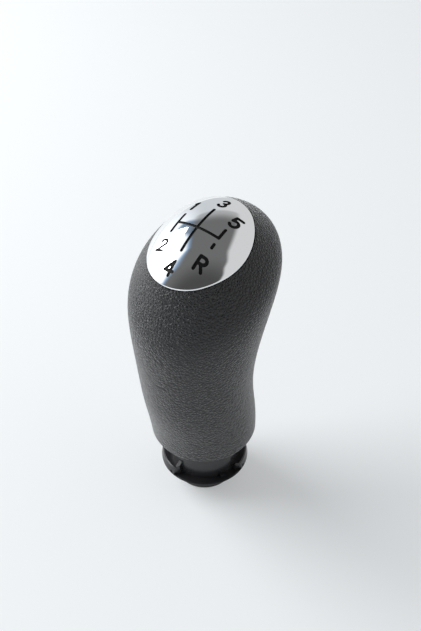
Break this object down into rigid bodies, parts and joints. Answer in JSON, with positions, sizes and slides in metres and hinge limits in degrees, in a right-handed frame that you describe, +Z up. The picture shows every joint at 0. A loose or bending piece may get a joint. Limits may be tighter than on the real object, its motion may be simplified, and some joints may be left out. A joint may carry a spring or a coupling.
{
  "type": "gear shift knob",
  "caption": "Leaning pear-shaped gear shift knob: soft grained grip, plated domed oval cap with an engraved gate, and a black bayonet collar for the gaiter.",
  "frame": {"origin": "on the gear lever's axis, in the plane of the foot of the collar's spigot", "axes": "+Z up along the lever towards the cap, +Y to the front of the car, +X to its right"},
  "size_m": [0.0464, 0.0526, 0.1136],
  "materials": {
    "skin": "soft moulded skin with a fine leather grain, satin",
    "core": "moulded, matt",
    "plated_cap": "bright plating with black filled engraving",
    "bush": "natural moulded nylon",
    "collar": "moulded, semi-gloss black"
  },
  "bodies": {
    "root": {"grip_cover": "skin", "grip_core": "core", "top_cap": "plated_cap", "lever_bush": "bush", "gaiter_collar": "collar"}
  },
  "joints": []
}
